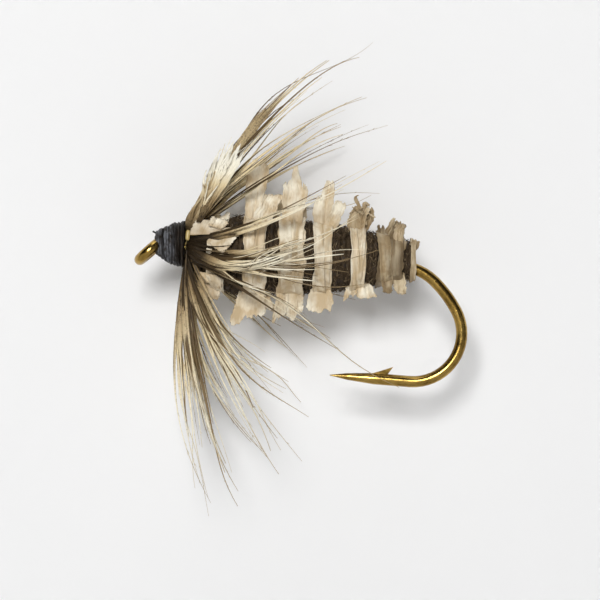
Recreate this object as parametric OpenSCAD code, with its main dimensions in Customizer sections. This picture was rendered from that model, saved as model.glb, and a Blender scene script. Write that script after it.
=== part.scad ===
// A soft-hackled dressed hook: eye at the origin, shank along +X, point below,
// back of the dressing up (+Z). The near side of the dressing faces -Y.

/* [Hook] */
// Diameter of the hook wire
wire_d = 0.57; // [0.45:0.01:0.65]
// Height of the shank's centre line above the eye's centre
shank_z = 0.3; // [0.28:0.01:0.32]
// Where the straight shank ends and the bend starts
shank_end = 12.6; // [12.4:0.1:13]
// Radius of the upper, middle and lower arc of the bend
bend_r = [2.7, 5.9, 2.42];
// Angle turned by each of those arcs
bend_turn = [40, 18, 122];
// Length of the straight spear before the point's grind
spear_l = 1.8; // [1.5:0.1:2]
// Length of the ground point
point_l = 2.2; // [1.8:0.1:2.4]
// Ring radius of the eye, at the middle of its wire
eye_r = 0.63; // [0.6:0.01:0.66]
// Radius of the hole through the eye
eye_hole_r = 0.37; // [0.36:0.005:0.38]
// How far the eye is turned down from the shank
eye_turn = 46; // [40:1:50]

/* [Head] */
// Front end of the thread head
head_front = 0.4; // [0.35:0.05:0.45]
// Back end of the thread head
head_back = 1.8; // [1.7:0.05:1.85]
// Radius of the head at its front and back
head_r = [0.5, 1.08];
// Distance between neighbouring turns of thread
thread_pitch = 0.15; // [0.12:0.01:0.2]
// Turns of thread that lock the knot at the front of the head
knot_turns = 3; // [2:1:4]

/* [Body] */
// Thickness of one trimmed strip
strip_t = 0.12; // [0.08:0.01:0.15]
// How far the strips' wraps stand out from the dark body
strip_proud = 0.08; // [0.05:0.01:0.12]
// Share of the body's radius that the padding under the wraps fills
core_share = 0.8; // [0.7:0.01:0.85]

/* [Hackle] */
// Radius of the ring that the fibres spring from
root_r = 0.98; // [0.95:0.01:1.05]
// Position of that ring along the shank
root_x = 2.02; // [2:0.01:2.1]
// How far behind that ring the pale plume springs from
plume_back = 0.2; // [0.15:0.01:0.25]
// Half width of a fibre at its root
fibre_w = 0.07; // [0.05:0.01:0.09]

/* [Hidden] */
$fn = 48;
wire_r = wire_d / 2;
// Where the straight shank starts, clear of the eye's hole
shank_x0 = 0.66;
// Width of the square way that the thread leaves open for the line through the eye
eye_room = 2 * eye_hole_r + 0.08;
// What is left open between two stretches of wire, inside the bead that joins them
joint_gap = 0.017;

// The body's own axis rises a little from the head to the tail.
body_tilt = 3.1;
body_x0 = 3;
body_z0 = 0.07;
// Radius of the dressed body, along the body's axis from body_x0
body_profile = [[-0.7, 0.9], [0, 1.5], [1.3, 2.0], [3.2, 1.94], [4.8, 1.85],
                [6.5, 1.7], [7.9, 1.43], [9.5, 1.07], [10.2, 0.96]];
function body_r(x) = lookup(x - body_x0, body_profile);
// The places from x1 to x2 where the outline of the body has a corner, with both ends
function stops(x1, x2) = concat(
    [x1], [for (p = body_profile) let (x = body_x0 + p[0]) if (x > x1 && x < x2) x], [x2]);

// ---- shared shapes ----

// Places children in the body's frame: revolved about an axis along the body
module on_body() translate([body_x0, 0, body_z0]) rotate([0, 90 - body_tilt, 0]) children();

// A straight round rod between two points
module rod(from, to, r1, r2) {
    d = to - from;
    translate(from)
        rotate([0, acos(d.z / norm(d)), atan2(d.y, d.x)])
            cylinder(h = norm(d), r1 = r1, r2 = r2);
}

// A bead a hair thicker than the wire, which joins two stretches of it
module bead(place) translate(place) sphere(wire_r + 0.004);

// An arc of wire in the X-Z plane, from one angle above +X down to another. It starts a
// hair late, inside the bead that joins it to the stretch before.
module wire_arc(centre, radius, from, to) {
    late = joint_gap / radius * 180 / PI;
    translate(centre) rotate([90, 0, 0]) rotate(to)
        rotate_extrude(angle = from - late - to) translate([radius, 0]) circle(wire_r);
    bead(centre + radius * [cos(from), 0, sin(from)]);
}

// A flat trimmed leaf in the X-Z plane, centred on y
module leaf(outline, y)
    translate([0, y + strip_t / 2, 0]) rotate([90, 0, 0]) linear_extrude(strip_t) polygon(outline);

// The section of a ring from the padding out to the body's outline and a little more
module ring_section(x1, x2, proud) {
    xs = stops(x1, x2);
    last = len(xs) - 1;
    polygon(concat(
        [for (x = xs) [body_r(x) + proud, x - body_x0]],
        [for (i = [0 : last]) let (x = xs[last - i]) [core_share * body_r(x), x - body_x0]]));
}

// A strip wrapped once round the body, from x1 to x2
module wrap(x1, x2, proud = strip_proud) on_body() rotate_extrude() ring_section(x1, x2, proud);

// Turns of herl side by side round the body, from x1 to x2
module herl(x1, x2, turns) {
    step = (x2 - x1) / turns;
    on_body() rotate_extrude() union() {
        ring_section(x1, x2, -step / 3);
        for (i = [0 : turns - 1]) {
            x = x1 + (i + 0.5) * step;
            translate([body_r(x) - step / 2, x - body_x0]) circle(step / 2, $fn = 24);
        }
    }
}

// Radius of the head at a place along it: a blunt cone that rounds off towards its back
function head_r_at(x) = let (share = (x - head_front) / (head_back - head_front))
    head_r[0] + (head_r[1] - head_r[0]) * sin(90 * share);

// The head, wound with thread between two places along it
module wound(x1, x2) {
    turns = round((x2 - x1) / thread_pitch);
    inset = thread_pitch / 4;
    difference() {
        translate([head_front, 0, shank_z + 0.1]) rotate([0, 86, 0]) rotate_extrude() union() {
            polygon(concat(
                [[0, x1 - head_front]],
                [for (i = [0 : turns]) let (x = x1 + i * (x2 - x1) / turns)
                    [head_r_at(x) - inset, x - head_front]],
                [[0, x2 - head_front]]));
            for (i = [0 : turns - 1]) {
                x = x1 + (i + 0.5) * thread_pitch;
                translate([head_r_at(x) - inset, x - head_front])
                    circle(thread_pitch / 2, $fn = 16);
            }
        }
        shank_hole();
        hook_front();
        eye_axis() cube([eye_room, eye_room, 2.4], center = true);
    }
}

// The space that the hook's shank takes in what is wound round it
module shank_hole() translate([shank_x0, 0, shank_z]) rotate([0, 90, 0])
    cylinder(h = shank_end - shank_x0, r = wire_r);

// ---- hook ----

bend_c1 = [shank_end, 0, shank_z - bend_r[0]];
a1 = 90 - bend_turn[0];
bend_c2 = bend_c1 + (bend_r[0] - bend_r[1]) * [cos(a1), 0, sin(a1)];
a2 = a1 - bend_turn[1];
bend_c3 = bend_c2 + (bend_r[1] - bend_r[2]) * [cos(a2), 0, sin(a2)];
spear_z = bend_c3.z - bend_r[2];

module eye_axis() rotate([0, -eye_turn, 0]) children();

// The eye's ring, and the rounded front end of the shank that meets it
module hook_front() {
    translate([shank_x0, 0, shank_z]) sphere(wire_r);
    eye_axis() rotate_extrude() translate([eye_r, 0]) circle(wire_r - 0.01);
}

module hook() color("darkgoldenrod") difference() {
    union() {
        hook_front();
        translate([shank_x0, 0, shank_z]) rotate([0, 90, 0])
            cylinder(h = shank_end - shank_x0, r = wire_r);
        wire_arc(bend_c1, bend_r[0], 90, a1);
        wire_arc(bend_c2, bend_r[1], a1, a2);
        wire_arc(bend_c3, bend_r[2], a2, a2 - bend_turn[2]);
        spear();
        barb();
    }
    eye_axis() translate([0, 0, -1.2]) cylinder(h = 2.4, r = eye_hole_r);
}

// The straight spear and its ground point, turned as one about the wire's axis
module spear() {
    bead([bend_c3.x, 0, spear_z]);
    translate([bend_c3.x, 0, spear_z]) rotate([0, -90, 0]) rotate_extrude() polygon([
        [0, joint_gap], [wire_r, joint_gap], [wire_r, spear_l], [0.17, spear_l + 0.6 * point_l],
        [0.02, spear_l + point_l], [0, spear_l + point_l]]);
}

// The barb is a sliver of the wire, raised behind the point.
module barb() {
    x = bend_c3.x - spear_l;
    translate([0, 0.14, 0]) rotate([90, 0, 0]) linear_extrude(0.28)
        polygon([[x - 0.1, spear_z + 0.1], [x - 0.1, spear_z + 0.25], [x + 0.93, spear_z + 0.66],
                 [x + 0.64, spear_z + 0.2], [x + 0.64, spear_z + 0.1]]);
}

// ---- thread, padding and body ----

module thread_base() color("black") difference() {
    translate([head_back, 0, shank_z]) rotate([0, 90, 0]) cylinder(h = 13.1 - head_back, r = 0.42);
    shank_hole();
    translate([shank_end, 0, shank_z]) rotate([0, 90, 0]) cylinder(h = 1, r = wire_r + 0.03);
}

module padding() color("dimgray") difference() {
    on_body() rotate_extrude() polygon(concat(
        [[0, -0.6]],
        [for (p = body_profile) [core_share * p[1], max(p[0], -0.6)]],
        [[0, body_profile[len(body_profile) - 1][0]]]));
    translate([0, 0, shank_z]) rotate([0, 90, 0]) cylinder(h = 13.1, r = 0.42);
    translate([shank_end, 0, shank_z]) rotate([0, 90, 0]) cylinder(h = 1, r = wire_r + 0.03);
}

module quill_stem() color("tan") difference() {
    union() for (x = [1.91, 2.11, 2.31]) translate([x, 0, shank_z + 0.05])
        rotate([0, 90, 0]) rotate_extrude() translate([0.62, 0]) circle(0.1, $fn = 24);
    shank_hole();
}

module quill_butt() color("cornsilk") rod([1.9, -0.98, 0.7], [1.9, -0.94, 1.2], 0.12, 0.08);

module herl_collar() color("#30261c") herl(2.42, 2.9, 2);
module herl_band_1() color("#30261c") herl(3.8, 4.72, 3);
module herl_band_2() color("#30261c") herl(5.86, 6.46, 2);
module herl_band_3() color("#30261c") herl(7.76, 8.2, 2);
module herl_band_4() color("#30261c") herl(9.15, 10.05, 3);
module herl_band_5() color("#30261c") herl(10.8, 11.35, 2);
module rear_wrap() color("#241c14") herl(12.72, 13.02, 2);

// ---- strips: each is a wrap with a trimmed tuft above and below ----

module flap_upper() color("linen") union() {
    wrap(2.92, 3.35, 0.02);
    leaf([[2.95, 1.42], [3.3, 1.42], [3.34, 1.75], [3.75, 2.12], [3.3, 2.25], [2.5, 1.85]], -0.4);
}

module flap_lower() color("linen") union() {
    wrap(3.37, 3.78, 0.04);
    leaf([[3.4, -1.3], [3.7, -1.3], [3.72, -2.2], [3.33, -2.3], [2.75, -1.75]], -0.5);
}

module strip_1() color("linen") union() {
    wrap(4.74, 5.84);
    leaf([[4.78, 1.7], [5.36, 1.75], [5.45, 2.8], [5.6, 4.4], [5.26, 4.8], [4.86, 4.85],
          [4.53, 4.35], [4.6, 2.4]], -0.55);
    leaf([[4.8, -1.6], [5.8, -1.6], [6.1, -2.35], [5.8, -2.85], [5.05, -3.05], [4.95, -3.45],
          [4.3, -3.05], [4.46, -2.2]], -0.45);
}

module strip_2() color("linen") union() {
    wrap(6.48, 7.74);
    leaf([[6.5, 1.7], [7.42, 1.75], [7.64, 3.5], [7.25, 3.95], [7.28, 4.56], [6.96, 4.69],
          [6.42, 3.95], [6.48, 2.9]], -0.5);
    leaf([[6.58, -1.5], [7.72, -1.45], [7.86, -2.16], [7.48, -2.93], [7.04, -2.68],
          [6.53, -3.04], [6.42, -2.4]], -0.45);
}

module strip_3() color("linen") union() {
    wrap(8.22, 9.13);
    leaf([[8.24, 1.8], [8.94, 1.85], [8.95, 3.8], [8.82, 4.13], [8.46, 4.11], [8.35, 3.3],
          [8.0, 2.7]], 0.45);
    leaf([[8.3, -1.1], [9.1, -1.05], [9.5, -1.9], [8.95, -2.43], [8.43, -2.44], [8.02, -2.09]],
         -0.4);
}

module strip_4() color("linen") union() {
    wrap(10.07, 10.78);
    leaf([[10.1, -0.7], [10.75, -0.65], [11.15, -1.4], [10.53, -1.47], [9.92, -1.6],
          [9.97, -1.2]], -0.35);
}

module strip_5() color("tan") union() {
    wrap(11.37, 12.7);
    leaf([[12.12, 1.3], [12.6, 1.3], [12.62, 2.3], [12.12, 2.28]], -0.35);
    leaf([[11.75, -0.35], [12.68, -0.25], [12.98, -0.92], [12.4, -1.08], [11.8, -0.97]], -0.3);
}

module tail_strip() color("tan") wrap(13.04, 13.3, 0.1);

module cross_strip() color("linen")
    leaf([[5.5, 2.18], [6.1, 2.15], [6.48, 2.86], [6.45, 3.47], [5.57, 3.27], [5.2, 2.5]], 0.5);

module back_strip() color("linen")
    leaf([[8.78, 2.18], [9.12, 2.15], [9.6, 3.0], [9.5, 3.22], [9.08, 3.33], [8.86, 2.9]], -0.4);

module crumpled_strip() color("tan") union() {
    leaf([[10.15, 1.95], [10.6, 1.95], [11.0, 2.55], [11.0, 3.04], [10.42, 3.24], [10.05, 3.1],
          [9.8, 2.3]], -0.35);
    leaf([[11.4, 1.92], [12.05, 1.8], [12.5, 2.4], [12.4, 2.65], [12.1, 2.65], [11.6, 2.2]], 0.4);
}

// ---- hackle ----

// A quadratic curve through root and tip, pulled towards the bow point
function curve(root, bow, tip, t) = (1 - t) ^ 2 * root + 2 * t * (1 - t) * bow + t ^ 2 * tip;
// The place on a root ring at x, at an angle from the top, positive towards the near side
function root_at(a, x) = [x, -root_r * sin(a), shank_z + root_r * cos(a)];

// One fibre: a four-sided tapering sweep along its curve
module fibre(root, bow, tip, w) {
    rings = 7;
    axis = (tip - root) / norm(tip - root);
    side = cross(axis, [0, 1, 0]) / norm(cross(axis, [0, 1, 0]));
    face = cross(axis, side);
    points = [for (i = [0 : rings], k = [0 : 3])
        curve(root, bow, tip, i / rings)
            + w * (1 - 0.7 * i / rings) * (cos(90 * k) * side + 0.7 * sin(90 * k) * face)];
    sides = [for (i = [0 : rings - 1], k = [0 : 3])
        [4 * i + 4 + k, 4 * i + 4 + (k + 1) % 4, 4 * i + (k + 1) % 4, 4 * i + k]];
    last = 4 * rings;
    polyhedron(points, concat([[0, 1, 2, 3]], sides, [[last + 3, last + 2, last + 1, last]]));
}

// A group of fibres, each [root angle, bow point, tip], with one more between neighbours
module fibres(list, w = fibre_w, x = root_x) {
    for (f = list) fibre(root_at(f[0], x), f[1], f[2], w);
    if (len(list) > 1) for (i = [0 : len(list) - 2]) {
        f = (list[i] + list[i + 1]) / 2;
        root = root_at(f[0], x);
        fibre(root, root + (f[1] - root) * 0.9, root + (f[2] - root) * 0.85, w);
    }
}

crown = [
    [4, [4.3, -1.4, 8.0], [9.98, -2.0, 11.29]],
    [14, [4.5, -1.8, 7.4], [9.55, -2.8, 10.1]],
    [-6, [4.6, -0.6, 6.5], [8.2, -0.8, 9.15]],
    [24, [4.9, -2.4, 5.8], [10.1, -3.4, 8.3]],
    [-16, [5.3, 0.6, 5.4], [9.3, 0.8, 7.3]]];

crown_inner = [
    [34, [6.0, -2.7, 5.4], [11.5, -3.7, 7.2]],
    [-26, [5.2, 1.6, 5.0], [7.98, 2.2, 7.14]],
    [-38, [5.6, 2.6, 4.6], [9.6, 3.6, 6.4]]];

plume = [
    [18, [2.4, -1.6, 3.6], [3.1, -2.0, 5.4]],
    [8, [2.8, -0.8, 3.6], [3.7, -1.1, 5.7]],
    [-6, [3.0, 0.2, 3.4], [4.05, 0.3, 5.85]],
    [-22, [2.9, 1.4, 3.2], [3.8, 1.9, 5.1]]];

near_upper = [
    [52, [5.2, -3.5, 2.4], [11.44, -3.5, 5.41]],
    [72, [4.9, -3.6, -0.8], [10.46, -3.0, 2.75]],
    [86, [5.0, -3.7, -0.9], [9.7, -3.1, 1.6]],
    [95, [5.2, -3.6, -0.8], [12.4, -2.9, 1.25]],
    [102, [5.2, -3.5, -0.6], [10.8, -3.2, -0.2]]];

near_lower = [
    [108, [5.4, -3.5, -0.9], [11.9, -3.0, -0.9]],
    [116, [4.6, -3.4, -1.2], [7.7, -3.1, -1.8]],
    [124, [5.6, -3.6, -1.6], [12.9, -3.4, -5.5]]];

far_upper = [
    [-50, [5.4, 3.5, 2.6], [11.4, 3.3, 3.9]],
    [-68, [5.2, 3.6, 1.6], [9.4, 3.6, 4.4]],
    [-84, [5.2, 3.7, 0.6], [11.2, 3.3, 2.1]],
    [-96, [5.0, 3.7, -0.4], [10.1, 3.2, 0.4]]];

far_lower = [
    [-106, [5.0, 3.6, -1.0], [11.0, 3.2, -1.3]],
    [-116, [4.8, 3.6, -1.8], [9.2, 3.6, -3.6]],
    [-126, [4.6, 3.4, -2.6], [8.2, 3.9, -5.0]]];

throat_front = [
    [166, [1.3, -0.6, -6.5], [4.15, -0.9, -12.74]],
    [152, [2.2, -1.3, -6.3], [5.54, -1.8, -12.1]],
    [-178, [1.9, 0.2, -6.5], [5.4, 0.4, -11.6]],
    [-164, [2.4, 1.1, -6.4], [6.85, 1.8, -9.9]]];

throat_rear = [
    [144, [3.2, -1.9, -4.9], [7.29, -2.6, -10.08]],
    [138, [3.1, -2.2, -4.8], [8.64, -3.2, -9.88]],
    [132, [3.6, -2.7, -4.6], [8.56, -3.6, -7.66]],
    [-150, [3.0, 1.9, -4.4], [8.5, 3.0, -6.8]],
    [-138, [3.4, 2.6, -3.9], [7.2, 3.5, -6.1]]];

module hackle_crown() color("#8a7350") fibres(crown);
module hackle_crown_inner() color("#a89468") fibres(crown_inner);
module hackle_plume() color("#e6dcc4") fibres(plume, 0.09, root_x + plume_back);
module hackle_near_upper() color("#6e5a3c") fibres(near_upper);
module hackle_near_lower() color("#cdbf9c") fibres(near_lower);
module hackle_far_upper() color("#6e5a3c") fibres(far_upper);
module hackle_far_lower() color("#8a7350") fibres(far_lower);
module hackle_throat_front() color("#5a4a30") fibres(throat_front);
module hackle_throat_rear() color("#a89468") fibres(throat_rear);

// Barbs still stuck together as one speckled vane, beside the longest crown fibres
module hackle_speckled() color("#4e4030") {
    vane = [[4.0, 5.6], [4.4, 6.85], [5.3, 7.9], [6.1, 8.5], [6.4, 8.3], [5.7, 7.3], [5.1, 6.5],
            [4.4, 5.5], [2.6, 2.3], [2.35, 2.4]];
    translate([0, -0.1, 0]) rotate([90, 0, 0]) linear_extrude(0.14) polygon(vane);
}

// ---- head ----

module knot_thread() color("#16181c") wound(head_front, head_front + knot_turns * thread_pitch);
module head_thread() color("#1c1f26") wound(head_front + knot_turns * thread_pitch, head_back);
module thread_tag() color("black") rod([0.42, -0.2, 0.87], [0.12, -0.35, 1.0], 0.04, 0.03);

hook();
thread_base();
padding();
quill_stem();
quill_butt();
herl_collar();
herl_band_1();
herl_band_2();
herl_band_3();
herl_band_4();
herl_band_5();
rear_wrap();
flap_upper();
flap_lower();
strip_1();
strip_2();
strip_3();
strip_4();
strip_5();
tail_strip();
cross_strip();
back_strip();
crumpled_strip();
hackle_crown();
hackle_crown_inner();
hackle_plume();
hackle_speckled();
hackle_near_upper();
hackle_near_lower();
hackle_far_upper();
hackle_far_lower();
hackle_throat_front();
hackle_throat_rear();
head_thread();
knot_thread();
thread_tag();
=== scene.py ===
import math
from collections import namedtuple

import bpy
import numpy as np
from mathutils import Matrix, Vector


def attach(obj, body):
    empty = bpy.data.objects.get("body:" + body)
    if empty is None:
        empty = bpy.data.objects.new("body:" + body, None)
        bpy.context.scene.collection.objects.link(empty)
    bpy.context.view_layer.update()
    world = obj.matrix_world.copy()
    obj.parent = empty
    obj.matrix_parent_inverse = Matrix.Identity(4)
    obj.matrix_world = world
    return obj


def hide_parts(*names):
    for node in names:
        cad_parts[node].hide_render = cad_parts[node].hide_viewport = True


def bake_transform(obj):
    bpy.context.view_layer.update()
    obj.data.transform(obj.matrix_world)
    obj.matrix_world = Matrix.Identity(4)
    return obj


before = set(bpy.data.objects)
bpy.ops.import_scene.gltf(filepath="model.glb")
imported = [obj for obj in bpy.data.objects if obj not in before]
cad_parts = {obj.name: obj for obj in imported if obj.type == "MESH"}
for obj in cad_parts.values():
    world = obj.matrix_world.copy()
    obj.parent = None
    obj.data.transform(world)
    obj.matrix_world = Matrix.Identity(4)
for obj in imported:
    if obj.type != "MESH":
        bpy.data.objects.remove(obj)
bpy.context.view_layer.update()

# Shapes are worked out in millimetres, as in the CAD, and scaled as they become meshes.
MM = 0.001
TAU = 2 * math.pi

# ---- the dressed body's own axis and outline, as in the CAD ----

BODY_START = np.array([3.0, 0.0, 0.07])
BODY_TILT = math.radians(3.1)
BODY_AXIS = np.array([math.cos(BODY_TILT), 0.0, math.sin(BODY_TILT)])
BODY_UP = np.array([-math.sin(BODY_TILT), 0.0, math.cos(BODY_TILT)])
NEAR = np.array([0.0, -1.0, 0.0])
PROFILE_X = [2.3, 3.0, 4.3, 6.2, 7.8, 9.5, 10.9, 12.5, 13.2]
PROFILE_R = [0.9, 1.5, 2.0, 1.94, 1.85, 1.7, 1.43, 1.07, 0.96]
SHANK_Z = 0.3


def body_r(x):
    return np.interp(x, PROFILE_X, PROFILE_R)


def on_body(x, angle, out):
    """Points round the body: x along it, an angle from the top towards the near side, a radius."""
    x, angle, out = np.broadcast_arrays(x, angle, out)
    axis = BODY_START + (x - BODY_START[0])[..., None] * BODY_AXIS
    ray = np.cos(angle)[..., None] * BODY_UP + np.sin(angle)[..., None] * NEAR
    return axis + out[..., None] * ray


# ---- mesh building ----

# How far the ridges of a laid thread stand out, as a share of its half width
PLY_RIDGE = 0.16


def tube_points(paths, radius, sides, flat, ref, ply):
    """Rings of points round each path."""
    tangent = np.gradient(paths, axis=1)
    tangent /= np.linalg.norm(tangent, axis=2, keepdims=True)
    side = np.cross(tangent, np.broadcast_to(np.asarray(ref, float), paths.shape))
    side /= np.linalg.norm(side, axis=2, keepdims=True) + 1e-9
    face = np.cross(side, tangent)
    turn = np.arange(sides) / sides * TAU
    twist = ply * np.arange(paths.shape[1])[None, :, None]
    bulge = 1 + (PLY_RIDGE * np.cos(2 * (turn - twist)) if ply else 0 * turn)
    spread = (radius[:, :, None] * bulge)[..., None]
    ring = np.cos(turn)[:, None] * side[:, :, None] + flat * np.sin(turn)[:, None] * face[:, :, None]
    return paths[:, :, None] + spread * ring


def tube_faces(number, rings, sides):
    """The walls of a number of tubes, then their ends."""
    k = np.arange(sides)
    walls = np.stack([k, (k + 1) % sides, sides + (k + 1) % sides, sides + k], 1)
    tube = (walls + sides * np.arange(rings - 1)[:, None, None]).reshape(-1, 4)
    ends = np.stack([k[::-1], k + sides * (rings - 1)])
    start = sides * rings * np.arange(number)[:, None, None]
    return list((tube + start).reshape(-1, 4)) + list((ends + start).reshape(-1, sides))


def sheet_faces(rows, columns, closed):
    """The front, back and edges of a sheet; the back's points are numbered after the front's."""
    index = np.arange(rows * columns).reshape(rows, columns)
    if closed:
        index = np.vstack([index, index[:1]])
    other = index + rows * columns
    a, b, c, d = index[:-1, :-1], index[1:, :-1], index[1:, 1:], index[:-1, 1:]
    faces = list(np.stack([a, b, c, d], 2).reshape(-1, 4))
    faces += list(np.stack([d, c, b, a], 2).reshape(-1, 4) + rows * columns)
    edges = [(index[:, 0], other[:, 0]), (other[:, -1], index[:, -1])]
    if not closed:
        edges += [(other[0], index[0]), (index[-1], other[-1])]
    for near, far in edges:
        faces += list(np.stack([near[:-1], far[:-1], far[1:], near[1:]], 1))
    return faces


class Shape:
    """Collects the surfaces of one piece, with two values a point: place along a fibre, and tone."""

    def __init__(self):
        self.points, self.faces, self.along, self.tone = [], [], [], []
        self.count = 0

    def add(self, points, faces, along, tone):
        points = points.reshape(-1, 3)
        self.points.append(points)
        self.along.append(np.broadcast_to(along, points.shape[:1]).ravel())
        self.tone.append(np.broadcast_to(tone, points.shape[:1]).ravel())
        self.faces.extend((np.asarray(f) + self.count).tolist() for f in faces)
        self.count += len(points)

    def strands(self, paths, radius, sides=4, flat=1.0, ref=(0, 1, 0), tone=0.5, ply=0.0, reach=1.0):
        """Closed tapering tubes along paths (strands, rings, 3), with half widths (strands, rings).

        flat squashes them across ref, ply gives them the ridges of a laid thread, and reach is how
        far along a fibre each one ends. tone is one value, one a strand, or one a point.
        """
        number, rings, _ = paths.shape
        points = tube_points(paths, radius, sides, flat, ref, ply)
        place = np.linspace(0, 1, rings)[None, :, None] * np.reshape(reach, (-1, 1, 1))
        along = np.broadcast_to(place, points.shape[:3])
        tone = np.asarray(tone, float)
        tone = tone if tone.ndim == 3 else tone.reshape(-1, 1, 1)
        tones = np.broadcast_to(tone, points.shape[:3])
        self.add(points, tube_faces(number, rings, sides), along.reshape(-1), tones.reshape(-1))

    def sheet(self, grid, thickness, closed=False, along=1.0, tone=0.5):
        """A sheet of even thickness over a grid (rows, columns, 3); closed joins its last row to row 0."""
        rows, columns, _ = grid.shape
        down = np.roll(grid, -1, 0) - np.roll(grid, 1, 0) if closed else np.gradient(grid, axis=0)
        normal = np.cross(down, np.gradient(grid, axis=1))
        normal /= np.linalg.norm(normal, axis=2, keepdims=True) + 1e-9
        front, back = grid + normal * thickness / 2, grid - normal * thickness / 2
        along = np.broadcast_to(along, (rows, columns)).ravel()
        tones = np.broadcast_to(tone, (rows, columns)).ravel()
        faces = sheet_faces(rows, columns, closed)
        self.add(np.stack([front, back]), faces, np.tile(along, 2), np.tile(tones, 2))

    def piece(self, name, slot, nodes, material):
        """The finished object, standing for CAD nodes, not yet on a body."""
        mesh = bpy.data.meshes.new(name)
        mesh.from_pydata((np.concatenate(self.points) * MM).tolist(), [], self.faces)
        for label, values in (("along", self.along), ("tone", self.tone)):
            layer = mesh.attributes.new(label, "FLOAT", "POINT")
            layer.data.foreach_set("value", np.concatenate(values).astype(np.float32))
        mesh.shade_smooth()
        mesh.materials.append(material)
        piece = bpy.data.objects.new(name, mesh)
        bpy.context.scene.collection.objects.link(piece)
        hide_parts(*nodes)
        return piece


def ripple(rng, u, v, along_u, along_v, waves=7):
    """Smooth random waves of about unit height over u and v."""
    total = 0 * (u + v)
    for _ in range(waves):
        fu, fv = rng.normal(0, along_u), rng.normal(0, along_v)
        total = total + np.sin(TAU * (fu * u + fv * v) + rng.uniform(0, TAU))
    return total * math.sqrt(2 / waves)


def resample(points, count):
    """A smooth line of count points through a few given ones."""
    points = np.asarray(points, float)
    for _ in range(2):
        quarter = points[:-1] * 0.75 + points[1:] * 0.25
        three = points[:-1] * 0.25 + points[1:] * 0.75
        middle = np.stack([quarter, three], 1).reshape(-1, points.shape[1])
        points = np.vstack([points[:1], middle, points[-1:]])
    reach = np.concatenate([[0], np.cumsum(np.linalg.norm(np.diff(points, axis=0), axis=1))])
    wanted = np.linspace(0, reach[-1], count)
    return np.stack([np.interp(wanted, reach, points[:, i]) for i in range(points.shape[1])], 1)


# ---- materials ----


class Nodes:
    """A material's node tree, with short calls for the nodes used here."""

    def __init__(self, name):
        self.material = bpy.data.materials.new(name)
        self.material.use_nodes = True
        self.tree = self.material.node_tree
        self.shader = self.tree.nodes["Principled BSDF"]

    def add(self, kind, **settings):
        node = self.tree.nodes.new(kind)
        for key, value in settings.items():
            if key in node.inputs:
                node.inputs[key].default_value = value
            else:
                setattr(node, key, value)
        return node

    def link(self, out, into):
        self.tree.links.new(out, into)

    def place(self, stretch=(1, 1, 1)):
        """Object coordinates in millimetres, stretched."""
        coords = self.add("ShaderNodeTexCoord")
        mapping = self.add("ShaderNodeMapping")
        mapping.inputs["Scale"].default_value = [s / MM for s in stretch]
        self.link(coords.outputs["Object"], mapping.inputs["Vector"])
        return mapping.outputs["Vector"]

    def value(self, label):
        return self.add("ShaderNodeAttribute", attribute_name=label).outputs["Fac"]

    def noise(self, scale, vector, detail=3.0, rough=0.6):
        node = self.add("ShaderNodeTexNoise", Scale=scale, Detail=detail, Roughness=rough)
        self.link(vector, node.inputs["Vector"])
        return node.outputs["Fac"]

    def math(self, how, a, b):
        node = self.add("ShaderNodeMath", operation=how)
        for socket, value in zip(node.inputs, (a, b)):
            if isinstance(value, (int, float)):
                socket.default_value = value
            else:
                self.link(value, socket)
        return node.outputs[0]

    def ramp(self, value, stops):
        node = self.add("ShaderNodeValToRGB")
        ramp = node.color_ramp
        while len(ramp.elements) < len(stops):
            ramp.elements.new(0.5)
        for element, (place, colour) in zip(ramp.elements, stops):
            element.position, element.color = place, (*colour, 1)
        self.link(value, node.inputs["Fac"])
        return node.outputs["Color"]

    def mix(self, factor, a, b, how="MIX"):
        node = self.add("ShaderNodeMix", data_type="RGBA", blend_type=how)
        for socket, value in ((node.inputs[0], factor), (node.inputs[6], a), (node.inputs[7], b)):
            if isinstance(value, (int, float)):
                socket.default_value = value
            elif isinstance(value, tuple):
                socket.default_value = (*value, 1)
            else:
                self.link(value, socket)
        return node.outputs[2]

    def bump(self, height, strength, distance=0.02):
        node = self.add("ShaderNodeBump", Strength=strength, Distance=distance * MM)
        self.link(height, node.inputs["Height"])
        self.link(node.outputs["Normal"], self.shader.inputs["Normal"])

    def set(self, **values):
        for key, value in values.items():
            socket = self.shader.inputs[key.replace("_", " ")]
            if isinstance(value, (int, float)):
                socket.default_value = value
            elif isinstance(value, tuple):
                socket.default_value = (*value, 1)
            else:
                self.link(value, socket)
        return self.material


def bronze_wire():
    m = Nodes("bronze_wire")
    place = m.place()
    colour = m.ramp(m.noise(0.9, place, 4), [
        (0.3, (0.20, 0.115, 0.025)), (0.5, (0.38, 0.24, 0.06)), (0.7, (0.52, 0.35, 0.10))])
    rough = m.ramp(m.noise(5, place), [(0.3, (0.16,) * 3), (0.7, (0.30,) * 3)])
    m.bump(m.noise(14, m.place((0.3, 1, 1)), 2), 0.12, 0.01)
    return m.set(Base_Color=colour, Roughness=rough, Metallic=1.0)


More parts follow.
